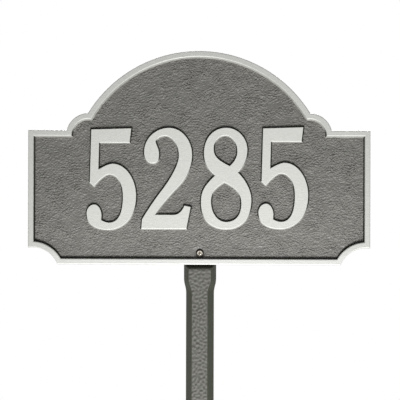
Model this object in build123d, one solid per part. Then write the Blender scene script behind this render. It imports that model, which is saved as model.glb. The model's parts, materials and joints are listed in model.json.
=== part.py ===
from build123d import *

import os
from math import cos, radians, sin, tan

# A cast house-number plaque for a lawn. One casting carries a raised rim and raised
# numerals over a recessed field. A cast stake stands below it, with a tongue that rises
# behind it, and one domed machine screw goes through the field into that tongue.
#
# Millimetres, +Z up, seen from the front along +Y with +X to the right. The origin is at
# the height of the ground, on the middle line of the stake and its screw, and the plaque's
# back lies in the plane y = 0, where the tongue rests against it.

# How it stands
height_above_ground = 203.0
stake_in_ground = 229.0
plaque_offset = -1.1

# Outline of the plaque, with heights above its own lower edge
plaque_width = 346.0
ledge_height = 136.3
arch_radius = 131.9
arch_centre_height = 84.3
shoulder_radius = 23.2
shoulder_centre_x = 111.5
shoulder_centre_height = 130.3
notch_radius = 27.7
notch_centre_x = 168.8
notch_centre_drop = 10.4

# Section of the plaque
plaque_depth = 10.0
rim_face_width = 5.4
rim_relief = 5.0
rim_wall_draft = 21.0
outer_draft = 3.0
rim_edge_radius = 0.8
rim_edge_break = 0.6
back_lip_width = 7.0
back_hollow_depth = 1.8
back_wall_draft = 20.0

# Numerals, with the row measured from the plaque's centre line and lower edge
numeral_height = 101.3
numeral_base_height = 37.3
numeral_relief = 3.8
numeral_draft = 20.0
numeral_edge_break = 0.7
numeral_root = 0.8
row_start_x = -113.1
row_tilt = 0.43
gap_five_two = 5.8
gap_two_eight = 9.4
gap_eight_five = 7.5

# Screw
screw_height = 12.1
screw_diameter = 4.2
screw_head_diameter = 8.4
screw_head_height = 3.0
screw_beyond_tongue = 1.5
screw_end_chamfer = 0.6
clearance_round_screw = 0.3
thread_allowance = 0.02
recess_width = 1.1
recess_span = 4.6
recess_depth = 1.6
boss_radius = 8.0

# Stake
stake_depth = 12.0
tongue_thickness = 6.0
tongue_height = 27.0
tongue_corner_radius = 6.0
shank_back_width = 28.2
shank_front_width = 17.6
head_back_width = 32.7
head_front_width = 24.3
head_drop = 14.2
neck_length = 14.1
shoulder_gap = 1.0
shoulder_draft = 21.0
point_length = 75.0
tip_back_width = 7.0
tip_front_width = 3.0
tip_depth = 4.0
stake_edge_break = 0.8
channel_depth = 6.5
channel_wall = 4.2
channel_corner_radius = 3.0
channel_end_margin = 10.0

plaque_front = -plaque_depth
field_front = plaque_front + rim_relief
numeral_front = field_front - numeral_relief
stake_front = tongue_thickness - stake_depth


def slope(angle):
    """Sideways run of a drafted wall for each millimetre of its height."""
    return tan(radians(angle))


def front_plane(y, height=height_above_ground):
    """Plane facing the viewer at a depth y, with its origin at a height on the stake's middle line."""
    return Plane((0, y, height), x_dir=(1, 0, 0), z_dir=(0, -1, 0))


def plaque_plane(y):
    """The same plane with its origin on the plaque's own middle line, at its lower edge."""
    return front_plane(y) * Pos(plaque_offset, 0)


class Outline:
    """A closed outline of straight and swelling edges, whose edges can all be moved outwards.

    A straight step is (end,). A swelling step is (corner, end) or (corner, end, fullness),
    where the tangents at both of its ends point at the corner.
    """

    fullness = 0.55

    def __init__(self, start, *steps, size=1.0):
        self.points, self.corners, self.fullnesses = [Vector(*start) * size], [], []
        for step in steps:
            straight = len(step) == 1
            self.corners.append(None if straight else Vector(*step[0]) * size)
            self.points.append(Vector(*step[0 if straight else 1]) * size)
            self.fullnesses.append(step[2] if len(step) == 3 else self.fullness)
        if (self.points[-1] - self.points[0]).length > 1e-6:
            self.corners.append(None)
            self.fullnesses.append(self.fullness)
        else:
            self.points.pop()

    def face(self, outwards=0.0):
        """Face inside the outline after each edge has moved outwards along its own normal."""
        count = len(self.points)
        ends = [self.points[(i + 1) % count] for i in range(count)]
        turning = sum(a.X * b.Y - b.X * a.Y for a, b in zip(self.points, ends))
        side = -outwards if turning < 0 else outwards
        leaving, arriving = [], []
        for start, corner, end in zip(self.points, self.corners, ends):
            leaving.append(((corner or end) - start).normalized())
            arriving.append((end - (corner or start)).normalized())
        moved = [
            self.mitred(point, arriving[i - 1], leaving[i], side)
            for i, point in enumerate(self.points)
        ]
        edges = []
        for i, corner in enumerate(self.corners):
            start, end = moved[i], moved[(i + 1) % count]
            if corner is None:
                edges.append(Line(start, end))
                continue
            corner = self.mitred(corner, leaving[i], arriving[i], side)
            start_pull = (corner - start) * self.fullnesses[i]
            end_pull = (corner - end) * self.fullnesses[i]
            edges.append(Bezier(start, start + start_pull, end + end_pull, end))
        return make_face(edges)

    @staticmethod
    def mitred(point, before, after, side):
        """Where two lines through a point cross once both have moved sideways."""
        normals = Vector(before.Y + after.Y, -before.X - after.X)
        return point + normals * (side / (1 + before.dot(after)))


def five(size):
    """Numeral 5, drawn in hundredths of its height from its left side and base line."""
    return [
        Outline(
            (4.5, 98.7),
            ((44.0, 99.9),),
            ((42.4, 86.3),),
            ((12.0, 86.3),),
            ((11.3, 58.6),),
            ((20.8, 64.6), (25.6, 64.6), 0.60),
            ((49.0, 64.6), (49.0, 32.0)),
            ((49.0, -0.5), (21.2, -0.5), 0.58),
            ((0.0, -0.5), (0.0, 15.4), 0.63),
            ((0.0, 23.9), (7.5, 23.9)),
            ((14.0, 23.9), (14.6, 13.5)),
            ((14.2, 8.4),),
            ((18.6, 5.8), (22.0, 5.8)),
            ((36.2, 5.8), (36.2, 32.0), 0.66),
            ((36.2, 54.7), (22.2, 54.7), 0.60),
            ((15.7, 54.7), (7.1, 42.9)),
            ((3.1, 46.4),),
            size=size,
        )
    ]


def two(size):
    """Numeral 2, drawn in hundredths of its height from its left side and base line."""
    return [
        Outline(
            (0.0, 0.0),
            ((44.5, 0.0),),
            ((48.7, 21.3),),
            ((42.7, 22.6),),
            ((39.6, 13.4), (32.2, 13.4), 0.60),
            ((13.0, 13.4),),
            ((17.0, 21.8), (31.0, 36.6)),
            ((38.5, 44.6),),
            ((50.0, 56.8), (50.0, 73.0), 0.60),
            ((50.0, 100.0), (27.2, 100.0)),
            ((2.5, 100.0), (2.5, 76.0)),
            ((2.5, 65.4), (10.6, 65.4)),
            ((17.1, 65.4), (17.1, 74.0), 0.68),
            ((17.1, 77.9), (15.3, 81.6)),
            ((13.7, 84.8), (13.7, 86.2)),
            ((13.7, 92.7), (23.2, 92.7)),
            ((37.2, 92.7), (37.2, 72.5)),
            ((37.2, 60.1), (20.5, 38.3), 0.62),
            ((6.1, 19.5), (0.5, 8.5)),
            size=size,
        )
    ]


def eight(size):
    """Numeral 8 in hundredths of its height: its outside, then its two counters."""
    return [
        Outline(
            (14.2, 52.5),
            ((2.9, 63.6), (2.9, 75.0), 0.78),
            ((2.9, 99.7), (24.9, 99.7), 0.58),
            ((45.7, 99.7), (45.7, 77.5)),
            ((45.7, 67.3), (36.2, 55.6), 0.70),
            ((49.8, 42.4), (49.8, 28.0), 0.62),
            ((49.8, -0.5), (24.9, -0.5), 0.62),
            ((0.0, -0.5), (0.0, 25.5), 0.63),
            ((0.0, 38.9), (14.2, 52.5), 0.80),
            size=size,
        ),
        Outline(
            (24.2, 92.7),
            ((12.2, 92.7), (12.2, 79.0), 0.58),
            ((12.2, 69.6), (28.4, 61.5), 0.78),
            ((36.1, 68.6), (36.1, 76.5), 0.70),
            ((36.1, 92.7), (24.2, 92.7)),
            size=size,
        ),
        Outline(
            (22.9, 46.2),
            ((9.7, 38.0), (9.7, 26.0), 0.78),
            ((9.7, 6.0), (24.9, 6.0), 0.56),
            ((40.2, 6.0), (40.2, 24.0), 0.62),
            ((40.2, 38.2), (22.9, 46.2), 0.74),
            size=size,
        ),
    ]


def raised_numeral(outlines, x, root):
    """One numeral standing on the field, wider at its root by its draft, with a broken edge."""
    height = numeral_base_height + x * slope(row_tilt)
    levels = [(numeral_front, 0)]
    for y in (numeral_front + numeral_edge_break, root):
        levels.insert(0, (y, numeral_edge_break / 2 + (y - numeral_front) * slope(numeral_draft)))
    solids = []
    for index, outline in enumerate(outlines):
        outwards = 1 if index == 0 else -1
        sections = [
            plaque_plane(y) * Pos(x, height) * outline.face(outwards * growth)
            for y, growth in levels
        ]
        solids.append(loft(sections, ruled=True))
    numeral = solids[0]
    for counter in solids[1:]:
        numeral -= counter
    return numeral


def plaque_outline(inset):
    """The plaque's front view with every edge moved inwards by the same distance."""
    width, height = plaque_width - 2 * inset, ledge_height - 2 * inset
    shape = Pos(0, ledge_height / 2) * Rectangle(width, height)
    upper_half = Rectangle(2 * arch_radius, arch_radius, align=(Align.CENTER, Align.MIN))
    shape += Pos(0, arch_centre_height) * (Circle(arch_radius - inset) & upper_half)
    for side in (-1, 1):
        shoulder_place = Pos(side * shoulder_centre_x, shoulder_centre_height)
        notch_place = Pos(side * notch_centre_x, -notch_centre_drop)
        shape += shoulder_place * Circle(shoulder_radius - inset)
        shape -= notch_place * Circle(notch_radius + inset)
    return shape


def drafted_outline(*levels):
    """Solid through the plaque's outline at several depths, each given with its inset."""
    return loft([plaque_plane(y) * plaque_outline(inset) for y, inset in levels], ruled=True)


def rounded_edge(front, inset, radius):
    """Levels that carry an outside wall round to a front face, in steps of 45 degrees."""
    turns = [radians(angle) for angle in (0, 45, 90)]
    return [(front + radius * (1 - sin(turn)), inset + radius * (1 - cos(turn))) for turn in turns]


def round_along_depth(radius, y_from, y_to):
    """Cylinder on the screw's axis between two depths."""
    disc = front_plane(y_to, height_above_ground + screw_height) * Circle(radius)
    return extrude(disc, amount=y_to - y_from)


def make_plaque():
    """The casting: hollow back with a boss, recessed field, rounded rim and four numerals."""
    front_inset = plaque_depth * slope(outer_draft)
    rim_inset = front_inset + rim_face_width
    wall_inset = rim_inset + rim_relief * slope(rim_wall_draft)
    casting = drafted_outline((0, 0), *rounded_edge(plaque_front, front_inset, rim_edge_radius))
    break_inset = rim_inset + rim_edge_break * slope(rim_wall_draft)
    casting -= drafted_outline(
        (field_front, wall_inset),
        (plaque_front + rim_edge_break, break_inset),
        (plaque_front, rim_inset - rim_edge_break),
    )
    hollow_inset = back_lip_width + back_hollow_depth * slope(back_wall_draft)
    casting -= drafted_outline((0, back_lip_width), (-back_hollow_depth, hollow_inset))
    casting += round_along_depth(boss_radius, -back_hollow_depth, 0)
    numerals = (
        (five, gap_five_two),
        (two, gap_two_eight),
        (eight, gap_eight_five),
        (five, 0),
    )
    root = field_front + numeral_root
    x = row_start_x
    for numeral, gap_after in numerals:
        outlines = numeral(numeral_height / 100)
        casting += raised_numeral(outlines, x, root)
        x += outlines[0].face().bounding_box().max.X + gap_after
    hole_radius = screw_diameter / 2 + clearance_round_screw
    return casting - round_along_depth(hole_radius, field_front, 0)


def stake_outline(shank_width, head_width, tip_width):
    """The stake's front view, from its tip up its right side, over the tongue and down."""
    shank, head, tip = shank_width / 2, head_width / 2, tip_width / 2
    head_end = -head_drop
    neck_end = head_end - neck_length
    neck_middle = ((shank + head) / 2, (head_end + neck_end) / 2)
    lowest = -height_above_ground - stake_in_ground
    corner = tongue_corner_radius
    right_side = [
        ((shank, lowest + point_length),),
        ((shank, neck_end),),
        ((shank, neck_end + neck_length / 4), neck_middle),
        ((head, head_end - neck_length / 4), (head, head_end)),
        ((head, tongue_height - corner),),
        ((head, tongue_height), (head - corner, tongue_height)),
    ]
    left_side = [
        ((corner - head, tongue_height),),
        ((-head, tongue_height), (-head, tongue_height - corner)),
        ((-head, head_end),),
        ((-head, head_end - neck_length / 4), (-neck_middle[0], neck_middle[1])),
        ((-shank, neck_end + neck_length / 4), (-shank, neck_end)),
        ((-shank, lowest + point_length),),
        ((-tip, lowest),),
    ]
    return Outline((tip, lowest), *right_side, *left_side)


def stake_section(y, outwards=0.0):
    """The stake's front view at a depth, narrower towards its front by the draft of its sides."""
    share = (tongue_thickness - y) / stake_depth
    drafted = (
        (shank_back_width, shank_front_width),
        (head_back_width, head_front_width),
        (tip_back_width, tip_front_width),
    )
    widths = [back + (front - back) * share for back, front in drafted]
    return front_plane(y) * stake_outline(*widths).face(outwards)


def side_prism(*corners):
    """Block across the whole stake from its side view, with corners given as (y, z)."""
    profile = make_face(Polyline(*[(0, y, z) for y, z in corners], close=True))
    return extrude(profile, amount=head_back_width, both=True)


def back_channel():
    """The hollow in the shank's back, which leaves side walls of one thickness and solid ends."""
    side_slope = (shank_back_width - shank_front_width) / 2 / stake_depth
    top = height_above_ground - head_drop - neck_length - channel_end_margin
    bottom = point_length + channel_end_margin - stake_in_ground
    sections = []
    for depth in (0, channel_depth):
        width = shank_back_width - 2 * channel_wall - 2 * depth * side_slope
        height = top - bottom - 2 * depth * side_slope
        place = front_plane(tongue_thickness - depth, (top + bottom) / 2)
        sections.append(place * RectangleRounded(width, height, channel_corner_radius))
    return loft(sections, ruled=True)


def make_stake():
    """The stake: drafted sides, a wider head, a shoulder under the plaque and a tongue behind."""
    sections = (
        stake_section(tongue_thickness),
        stake_section(stake_front + stake_edge_break),
        stake_section(stake_front, -stake_edge_break),
    )
    stake = loft(sections, ruled=True)
    stake -= side_prism(
        (tongue_thickness - tip_depth, -stake_in_ground),
        (stake_front, point_length - stake_in_ground),
        (stake_front, -stake_in_ground),
    )
    shoulder_height = height_above_ground - shoulder_gap
    tongue_top = height_above_ground + tongue_height
    stake -= side_prism(
        (0, shoulder_height),
        (-stake_depth, shoulder_height - stake_depth * slope(shoulder_draft)),
        (-stake_depth, 2 * tongue_top),
        (0, 2 * tongue_top),
    )
    tapped_radius = screw_diameter / 2 + thread_allowance
    return stake - back_channel() - round_along_depth(tapped_radius, 0, tongue_thickness)


def make_screw():
    """The machine screw: a domed head on the field, a cross recess and a plain shank."""
    head, shank = screw_head_diameter / 2, screw_diameter / 2
    end = tongue_thickness + screw_beyond_tongue - field_front
    dome = TangentArc((0, screw_head_height), (head, 0), tangent=(1, 0))
    rest = Polyline(
        (head, 0),
        (shank, 0),
        (shank, screw_end_chamfer - end),
        (shank - screw_end_chamfer, -end),
        (0, -end),
        (0, screw_head_height),
    )
    turned = revolve(Plane.XZ * make_face([dome, *rest.edges()]), Axis.Z)
    place = front_plane(field_front, height_above_ground + screw_height)
    slot = Box(recess_span, recess_width, 2 * recess_depth)
    for angle in (0, 90):
        turned -= Pos(0, 0, screw_head_height) * Rot(0, 0, angle) * slot
    return place * turned


if __name__ == "__main__":
    os.makedirs("parts", exist_ok=True)
    export_step(make_plaque(), "parts/plaque.step")
    export_step(make_stake(), "parts/stake.step")
    export_step(make_screw(), "parts/screw.step")
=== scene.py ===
import json
import logging
from dataclasses import dataclass
from enum import Enum
from math import cos, radians, sin

import bmesh
import bpy
import numpy as np
from mathutils import Matrix, Vector

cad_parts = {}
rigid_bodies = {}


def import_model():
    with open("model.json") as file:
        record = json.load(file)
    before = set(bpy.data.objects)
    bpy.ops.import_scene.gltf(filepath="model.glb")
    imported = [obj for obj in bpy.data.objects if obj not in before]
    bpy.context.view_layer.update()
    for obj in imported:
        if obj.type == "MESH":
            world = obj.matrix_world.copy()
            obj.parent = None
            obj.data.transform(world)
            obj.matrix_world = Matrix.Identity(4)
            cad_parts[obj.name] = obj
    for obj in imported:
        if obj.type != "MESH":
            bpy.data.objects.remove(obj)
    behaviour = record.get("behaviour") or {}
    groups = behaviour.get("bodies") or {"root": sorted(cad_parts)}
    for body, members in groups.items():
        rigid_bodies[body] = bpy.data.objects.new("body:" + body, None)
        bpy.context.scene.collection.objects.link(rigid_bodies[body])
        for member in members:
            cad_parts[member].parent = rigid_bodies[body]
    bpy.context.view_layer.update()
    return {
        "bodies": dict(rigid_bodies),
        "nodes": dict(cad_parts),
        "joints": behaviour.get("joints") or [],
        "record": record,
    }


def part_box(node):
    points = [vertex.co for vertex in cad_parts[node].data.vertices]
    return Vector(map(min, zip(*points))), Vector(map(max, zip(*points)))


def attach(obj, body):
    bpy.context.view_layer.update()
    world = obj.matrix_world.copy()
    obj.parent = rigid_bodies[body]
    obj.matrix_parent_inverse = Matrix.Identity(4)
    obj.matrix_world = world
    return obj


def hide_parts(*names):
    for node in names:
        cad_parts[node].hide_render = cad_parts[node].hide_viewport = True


# The looks of a cast house-number plaque on its ground stake. Lengths are metres in the
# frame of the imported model: +Z up, +X to the right, and the front faces -Y.

LOG = logging.getLogger("lawn_plaque")
MM = 0.001
WELD_DISTANCE = 0.002 * MM
BODY = "root"

# Smooth rises by which a face's normal n tells where it looks: towards the ground by -n.z,
# towards the front by -n.y, and by 1 + n.y from the relief to a wall and from there to a side.
DOWN_RISE = (0.12, 0.55)
FRONT_RISE = (0.25, 0.5)
WALL_RISE = (0.58, 0.63)
SIDE_RISE = (0.75, 0.85)

Array = np.ndarray
Socket = bpy.types.NodeSocket
Colour = tuple[float, float, float]


class SolidOperation(Enum):
    """How one closed mesh is combined with another."""

    UNION = "UNION"
    DIFFERENCE = "DIFFERENCE"


class Slot(Enum):
    """The record's material slots."""

    PLAQUE = "plaque_casting"
    STAKE = "stake_casting"
    SCREW = "screw_steel"


class Domain(Enum):
    """What the numbers of a mesh attribute belong to."""

    POINT = "POINT"
    FACE = "FACE"


class RayKind(Enum):
    """Light Path outputs that see the white background."""

    CAMERA = "Is Camera Ray"
    GLOSSY = "Is Glossy Ray"
    TRANSMISSION = "Is Transmission Ray"


def smooth_step(value: Array, low: float, high: float) -> Array:
    """Rise from 0 to 1 between two values, as 3t^2 - 2t^3 of the share t of the way.

    Args:
        value: Where the rise is read.
        low: Value at which it starts.
        high: Value at which it ends.

    Returns:
        The rise at each value.
    """
    share = np.clip((value - low) / (high - low), 0, 1)
    return share * share * (3 - 2 * share)


@dataclass(frozen=True)
class Noise:
    """Seeded random fields on a grid, each with a mean of 0 and a spread of 1.

    The shape and the spacing are given up the grid first, and then across it.
    """

    shape: tuple[int, int]
    spacing: tuple[float, float]
    seed: int

    def filtered(self, salt: int, window: Array) -> Array:
        """White noise with its Fourier transform weighted by a window.

        Args:
            salt: Number that sets this field apart from others of the same seed.
            window: Weight of each frequency, in the layout of numpy's fft2.

        Returns:
            The real part, scaled to a spread of 1.
        """
        white = np.random.default_rng([self.seed, salt]).standard_normal(self.shape)
        field = np.fft.ifft2(np.fft.fft2(white) * window).real
        return (field - field.mean()) / field.std()

    def frequencies(self) -> tuple[Array, Array]:
        """Frequencies across and up the grid, in waves a metre."""
        up, across = (np.fft.fftfreq(*axis) for axis in zip(self.shape, self.spacing))
        return np.meshgrid(across, up)

    def soft(self, salt: int, length: float) -> Array:
        """Cloudy field whose window is a bell, exp(-(f * length)^2).

        Args:
            salt: Number that sets this field apart.
            length: Size of the smallest cloud.

        Returns:
            The field.
        """
        across, up = self.frequencies()
        return self.filtered(salt, np.exp(-(across**2 + up**2) * length**2))

    def ripple(self, salt: int, wave: float, band: float) -> Array:
        """Bumps of one size: the window is a ring of radius 1 / wave in frequency.

        Args:
            salt: Number that sets this field apart.
            wave: Distance from one bump to the next.
            band: Width of the ring as a share of its radius.

        Returns:
            The field.
        """
        across, up = self.frequencies()
        offset = np.hypot(across, up) * wave - 1
        return self.filtered(salt, np.exp(-((offset / band) ** 2)))

    def strokes(self, salt: int, wave: float, length: float, angle: float) -> Array:
        """Short ridges in one direction, apart by one wave and longer than they are wide.

        The frequency is turned by the angle. Its part across the ridges is weighted by a bell
        round 1 / wave, and its part along them by a bell round 0.

        Args:
            salt: Number that sets this field apart.
            wave: Distance from one ridge to the next.
            length: Length of a ridge.
            angle: Direction of the ridges from the +X axis, in radians.

        Returns:
            The field.
        """
        across, up = self.frequencies()
        along = across * cos(angle) + up * sin(angle)
        athwart = up * cos(angle) - across * sin(angle)
        ring = np.exp(-(((np.abs(athwart) * wave - 1) / 0.5) ** 2))
        return self.filtered(salt, ring * np.exp(-((along * length) ** 2)))


@dataclass(frozen=True)
class HeightMap:
    """Heights on a square grid in the XZ plane, read between its points."""

    heights: Array
    left: float
    low: float
    spacing: float

    def at(self, x: Array, z: Array) -> Array:
        """Heights at any points, straight between the four grid points round each.

        Args:
            x: X of the points.
            z: Z of the points, in an array of the same shape.

        Returns:
            The heights there.
        """
        column = np.clip((x - self.left) / self.spacing, 0, self.heights.shape[1] - 1.001)
        row = np.clip((z - self.low) / self.spacing, 0, self.heights.shape[0] - 1.001)
        i, j = row.astype(int), column.astype(int)
        v, u = row - i, column - j
        lower = self.heights[i, j] * (1 - u) + self.heights[i, j + 1] * u
        upper = self.heights[i + 1, j] * (1 - u) + self.heights[i + 1, j + 1] * u
        return lower * (1 - v) + upper * v


def mesh_piece(name: str, points: Array, faces: list) -> bpy.types.Object:
    """Object at the origin with a mesh of these points and faces.

    Args:
        name: Name of the piece and its mesh.
        points: Points as rows of x, y and z.
        faces: Rows of point numbers.

    Returns:
        The linked object.
    """
    mesh = bpy.data.meshes.new(name)
    mesh.from_pydata(points.tolist(), [], faces)
    piece = bpy.data.objects.new(name, mesh)
    bpy.context.scene.collection.objects.link(piece)
    return piece


def closed_slab(front: Array, back: Array, cells: Array | None = None) -> tuple[Array, list]:
    """Closed skin between two grids of points, over all their cells or some of them.

    Each chosen cell gives a quad on the front grid and its reverse on the back one. Each side
    of a chosen cell that has no chosen neighbour gives a quad from front to back.

    Args:
        front: Points of the front grid, with rows up and columns to the right.
        back: Points of the back grid, in the same layout.
        cells: True for each chosen cell, or None for all of them.

    Returns:
        Points and faces with outward normals.
    """
    rows, columns = front.shape[:2]
    if cells is None:
        cells = np.ones((rows - 1, columns - 1), bool)
    number = np.arange(rows * columns).reshape(rows, columns)
    corners = number[:-1, :-1], number[:-1, 1:], number[1:, 1:], number[1:, :-1]
    low_left, low_right, high_right, high_left = corners
    front_quads = np.stack([corner[cells] for corner in corners], 1)
    behind = rows * columns
    quads = [front_quads, front_quads[:, ::-1] + behind]
    padded = np.pad(cells, 1)
    open_sides = (
        (padded[:-2, 1:-1], low_left, low_right),
        (padded[1:-1, 2:], low_right, high_right),
        (padded[2:, 1:-1], high_right, high_left),
        (padded[1:-1, :-2], high_left, low_left),
    )
    for neighbour, start, end in open_sides:
        edge = cells & ~neighbour
        first, last = start[edge], end[edge]
        quads.append(np.stack([last, first, first + behind, last + behind], 1))
    faces = np.concatenate(quads)
    used, renumbered = np.unique(faces, return_inverse=True)
    points = np.concatenate([front.reshape(-1, 3), back.reshape(-1, 3)])[used]
    return points, renumbered.reshape(faces.shape).tolist()


def turned_tube(radius: Array, depth: Array, axis: Vector) -> tuple[Array, list]:
    """Closed skin round a line along Y, from rings whose radius may vary round them.

    A point of a ring is axis + (radius * cos(turn), depth, radius * sin(turn)). The first and
    last rings are closed by one face each.

    Args:
        radius: Radius for each ring and turn, from the front to the back.
        depth: Y of each ring and turn.
        axis: Point on the line. Its Y isn't used.

    Returns:
        Points and faces with outward normals.
    """
    rings, turns = radius.shape
    turn = np.linspace(0, 2 * np.pi, turns, endpoint=False)
    x, z = axis.x + radius * np.cos(turn), axis.z + radius * np.sin(turn)
    points = np.stack([x, depth, z], -1).reshape(-1, 3)
    number = np.arange(rings * turns).reshape(rings, turns)
    following = np.roll(number, -1, 1)
    sides = [number[:-1], following[:-1], following[1:], number[1:]]
    faces = np.stack(sides, -1).reshape(-1, 4)[:, ::-1].tolist()
    return points, faces + [number[0].tolist(), number[-1, ::-1].tolist()]


def combine(base: bpy.types.Object, tool: bpy.types.Object, operation: SolidOperation) -> None:
    """Adds one closed piece to another or cuts it away, and removes the tool.

    Args:
        base: Piece whose mesh is replaced by the result.
        tool: Piece that is added or cut away.
        operation: Which of the two.
    """
    modifier = base.modifiers.new(operation.value, "BOOLEAN")
    modifier.operation = operation.value
    modifier.solver = "MANIFOLD"
    modifier.object = tool
    evaluated = base.evaluated_get(bpy.context.evaluated_depsgraph_get())
    result = bpy.data.meshes.new_from_object(evaluated)
    base.modifiers.clear()
    result.name = base.name
    base.data = result
    bpy.data.objects.remove(tool)


def merged_copy(node: bpy.types.Object, name: str) -> bpy.types.Object:
    """Copy of a CAD node as one closed mesh, with the points that its triangles repeat merged.

    Args:
        node: The node.
        name: Name of the copy.

    Returns:
        The linked copy.
    """
    mesh = bpy.data.meshes.new(name)
    form = bmesh.new()
    form.from_mesh(node.data)
    bmesh.ops.remove_doubles(form, verts=form.verts, dist=WELD_DISTANCE)
    form.to_mesh(mesh)
    form.free()
    piece = bpy.data.objects.new(name, mesh)
    bpy.context.scene.collection.objects.link(piece)
    return piece


def vertex_points(mesh: bpy.types.Mesh) -> Array:
    """Points of a mesh as rows of x, y and z."""
    points = np.empty(len(mesh.vertices) * 3, np.float32)
    mesh.vertices.foreach_get("co", points)
    return points.reshape(-1, 3).astype(float)


def face_normals(mesh: bpy.types.Mesh) -> Array:
    """Normals of a mesh's faces as rows of x, y and z."""
    normals = np.empty(len(mesh.polygons) * 3, np.float32)
    mesh.polygons.foreach_get("normal", normals)
    return normals.reshape(-1, 3)


def facing_down(mesh: bpy.types.Mesh) -> Array:
    """How far each face faces the ground: a smooth rise of -z of its normal."""
    return smooth_step(-face_normals(mesh)[:, 2], *DOWN_RISE)


def facing_front(mesh: bpy.types.Mesh) -> Array:
    """How far each face faces the front: a smooth rise of -y of its normal."""
    return smooth_step(-face_normals(mesh)[:, 1], *FRONT_RISE)


def steepness(mesh: bpy.types.Mesh) -> Array:
    """How far each face is a drafted wall: steeper than the relief, not so steep as the sides.

    With t = 1 + y of the normal, it is the wall's rise of t times 1 less the side's rise of t.

    Args:
        mesh: The mesh.

    Returns:
        From 0 to 1 for each face.
    """
    slope = 1 + face_normals(mesh)[:, 1]
    return smooth_step(slope, *WALL_RISE) * (1 - smooth_step(slope, *SIDE_RISE))


def store_values(
    mesh: bpy.types.Mesh, name: str, values: Array, domain: Domain = Domain.POINT
) -> None:
    """Keeps one number for each point or face of a mesh, for its material to read.

    Args:
        mesh: The mesh.
        name: Name of the attribute.
        values: One number for each point or face.
        domain: Which of the two.
    """
    attribute = mesh.attributes.new(name, "FLOAT", domain.value)
    attribute.data.foreach_set("value", values.astype(np.float32))


def shade(mesh: bpy.types.Mesh, crease: float, soft_points: Array | None = None) -> None:
    """Smooth shading, with hard edges where two faces meet at more than an angle.

    Args:
        mesh: Closed mesh.
        crease: Angle between face normals from which an edge is hard, in radians.
        soft_points: True for points whose edges stay soft at any angle.
    """
    edge_of_corner = np.empty(len(mesh.loops), int)
    mesh.loops.foreach_get("edge_index", edge_of_corner)
    sizes = np.empty(len(mesh.polygons), int)
    mesh.polygons.foreach_get("loop_total", sizes)
    face_of_corner = np.repeat(np.arange(len(sizes)), sizes)
    pairs = face_of_corner[np.argsort(edge_of_corner, kind="stable")].reshape(-1, 2)
    normals = face_normals(mesh)[pairs]
    hard = (normals[:, 0] * normals[:, 1]).sum(1) < cos(crease)
    if soft_points is not None:
        ends = np.empty(len(mesh.edges) * 2, int)
        mesh.edges.foreach_get("vertices", ends)
        hard &= ~soft_points[ends.reshape(-1, 2)].any(1)
    mesh.shade_smooth()
    attribute = mesh.attributes.get("sharp_edge")
    attribute = attribute or mesh.attributes.new("sharp_edge", "BOOLEAN", "EDGE")
    attribute.data.foreach_set("value", hard)


class Tree:
    """Short ways to add and link the nodes of one shader tree."""

    def __init__(self, tree: bpy.types.NodeTree) -> None:
        """Works on an empty tree."""
        self.tree = tree

    def add(self, kind: str, inputs: dict | None = None, **settings: object) -> bpy.types.Node:
        """Adds a node.

        Args:
            kind: Blender's name for the node type.
            inputs: Value or source socket for each named or numbered input.
            settings: Properties of the node.

        Returns:
            The new node.
        """
        node = self.tree.nodes.new(kind)
        for name, value in settings.items():
            setattr(node, name, value)
        for name, value in (inputs or {}).items():
            if isinstance(value, Socket):
                self.tree.links.new(value, node.inputs[name])
            else:
                node.inputs[name].default_value = value
        return node

    def feed(self, node: bpy.types.Node, sources: dict[str, Socket]) -> None:
        """Links a source to each named input of a node."""
        for name, source in sources.items():
            self.tree.links.new(source, node.inputs[name])

    def attribute(self, name: str) -> Socket:
        """Number that the mesh keeps under a name."""
        return self.add("ShaderNodeAttribute", attribute_name=name).outputs["Fac"]

    def math(self, operation: str, *values: Socket | float) -> Socket:
        """Result of a Math node on one to three values."""
        return self.add("ShaderNodeMath", dict(enumerate(values)), operation=operation).outputs[0]

    def rise(self, value: Socket, low: float | Socket, high: float | Socket) -> Socket:
        """Smooth rise from 0 to 1 as a value goes from low to high."""
        inputs = {"Value": value, "From Min": low, "From Max": high}
        node = self.add("ShaderNodeMapRange", inputs, interpolation_type="SMOOTHSTEP")
        return node.outputs["Result"]

    def mix(self, share: Socket | float, first: Socket | float, second: Socket | float) -> Socket:
        """Number between two others, where a share of 0 gives the first."""
        inputs = {0: share, 2: first, 3: second}
        return self.add("ShaderNodeMix", inputs, data_type="FLOAT").outputs[0]

    def mix_colour(self, share: Socket | float, first: object, second: object) -> Socket:
        """Colour between two others, where a share of 0 gives the first."""
        inputs = {0: share, 6: first, 7: second}
        return self.add("ShaderNodeMix", inputs, data_type="RGBA").outputs[2]

    def tinted(self, colour: object, tone: Socket) -> Socket:
        """Colour made lighter or darker by a tone round 1."""
        inputs = {0: 1.0, 6: colour, 7: tone}
        node = self.add("ShaderNodeMix", inputs, data_type="RGBA", blend_type="MULTIPLY")
        return node.outputs[2]

    def noise(self, place: Socket, scale: float | Socket, detail: float = 2.0) -> Socket:
        """Value of a noise texture, from 0 to 1."""
        inputs = {"Vector": place, "Scale": scale, "Detail": detail}
        return self.add("ShaderNodeTexNoise", inputs).outputs["Fac"]

    def group(self, group: bpy.types.NodeTree, inputs: dict) -> Socket:
        """Value that a node group puts out for its own inputs."""
        return self.add("ShaderNodeGroup", inputs, node_tree=group).outputs[0]


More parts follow.
